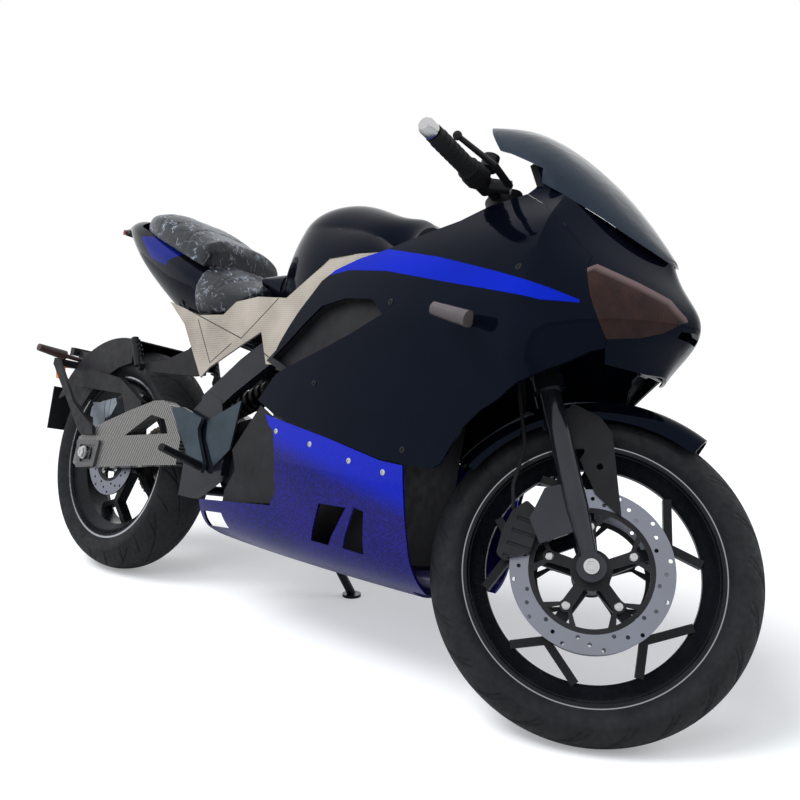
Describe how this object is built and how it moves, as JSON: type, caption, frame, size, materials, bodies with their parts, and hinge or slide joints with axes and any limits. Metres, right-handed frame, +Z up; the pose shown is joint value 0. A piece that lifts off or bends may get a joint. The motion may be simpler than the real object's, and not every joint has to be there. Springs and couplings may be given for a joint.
{
  "type": "electric touring motorcycle",
  "caption": "Fully faired electric motorcycle on its side stand, front wheel turned to its left stop.",
  "frame": {"origin": "on the ground under the middle of the parked machine", "axes": "+X forward along the machine, +Y to the rider's left, +Z up; it leans to +Y on its side stand"},
  "size_m": [2.109, 0.6763, 1.1123],
  "materials": {
    "tyre_rubber": "moulded rubber",
    "wheel_black": "satin black paint",
    "disc_steel": "ground",
    "carrier_black": "black anodised",
    "sprocket_steel": "machined",
    "fork_leg": "dark coated tube",
    "fork_black": "satin black",
    "bright_steel": "machined",
    "cast_black": "black coated casting",
    "cast_grey": "grey coated casting",
    "grip_rubber": "ribbed rubber",
    "matte_black": "moulded plastic",
    "lever_black": "satin black",
    "gloss_black": "polished black lacquer",
    "frame_black": "black powder coat",
    "motor_black": "black coated housing",
    "battery_black": "black coated housing",
    "chain_steel": "oiled steel",
    "swingarm_carbon": "clear-coated woven finish",
    "adjuster_silver": "brushed",
    "plate_black": "blank moulded plate holder",
    "lamp_amber": "amber reflector",
    "lamp_red": "red lens",
    "signal_smoke": "smoked lens",
    "signal_clear": "clear lens",
    "seat_vinyl": "stitched vinyl",
    "lens_smoked": "smoked lens",
    "screen_smoke": "smoked clear screen",
    "belly_blue": "metallic flake blue lacquer",
    "cover_beige": "clear-coated woven finish"
  },
  "bodies": {
    "front_wheel": {"front_tyre": "tyre_rubber", "front_rim": "wheel_black", "front_brake_discs": "disc_steel", "front_disc_carriers": "carrier_black"},
    "rear_wheel": {"rear_tyre": "tyre_rubber", "rear_rim": "wheel_black", "rear_brake_disc": "disc_steel", "rear_disc_carrier": "carrier_black", "rear_sprocket": "sprocket_steel"},
    "steering": {"fork_lower_legs": "fork_leg", "fork_outer_tubes": "fork_black", "front_axle": "bright_steel", "lower_fork_yoke": "cast_black", "upper_fork_yoke": "cast_black", "handlebars": "cast_black", "grips": "grip_rubber", "bar_end_weights": "bright_steel", "brake_levers": "lever_black", "front_brake_calipers": "cast_black", "front_brake_hoses": "grip_rubber", "front_mudguard": "gloss_black", "mudguard_brackets": "cast_black"},
    "frame": {"main_frame": "frame_black", "swingarm_pivot": "bright_steel", "drive_motor": "motor_black", "battery_pack": "battery_black", "drive_sprocket": "sprocket_steel", "drive_chain": "chain_steel", "swingarm": "swingarm_carbon", "rear_axle": "bright_steel", "axle_adjusters": "adjuster_silver", "rear_shock": "cast_black", "rear_brake_caliper": "cast_grey", "rear_hugger": "matte_black", "plate_bracket": "matte_black", "rear_reflectors": "lamp_amber", "number_plate": "plate_black", "rear_signals": "signal_smoke", "rear_frame": "frame_black", "passenger_pegs": "cast_black", "rider_seat": "seat_vinyl", "pillion_seat": "seat_vinyl", "tail_cowl": "gloss_black", "tail_light": "lamp_red", "tank_cover": "gloss_black", "side_fairings": "gloss_black", "nose_fairing": "gloss_black", "headlights": "lens_smoked", "windscreen": "screen_smoke", "side_scoops": "matte_black", "belly_pan": "belly_blue", "side_covers": "cover_beige", "lower_side_covers": "matte_black", "peg_hangers": "cast_grey", "rider_pegs": "cast_black", "front_signals": "signal_clear", "instrument_panel": "matte_black", "fairing_stay": "frame_black"},
    "side_stand": {"side_stand": "frame_black"}
  },
  "joints": [
    {"name": "steering", "type": "hinge", "parent": "frame", "child": "steering", "pos_m": [0.75334, -0.07636, 0.26552], "axis": [-0.4102, 0.2052, 0.8886], "range_deg": [-56, 0]},
    {"name": "front_wheel_spin", "type": "hinge", "parent": "steering", "child": "front_wheel", "pos_m": [0.78394, -0.05588, 0.27492], "axis": [-0.4282, 0.817, -0.3862], "continuous": true},
    {"name": "rear_wheel_spin", "type": "hinge", "parent": "frame", "child": "rear_wheel", "pos_m": [-0.67189, -0.06695, 0.30631], "axis": [0, 0.9744, -0.225], "continuous": true},
    {"name": "side_stand", "type": "hinge", "parent": "frame", "child": "side_stand", "pos_m": [-0.03727, 0.03412, 0.20173], "axis": [0.0085, 0.8633, 0.5046], "range_deg": [0, 88.3]}
  ]
}
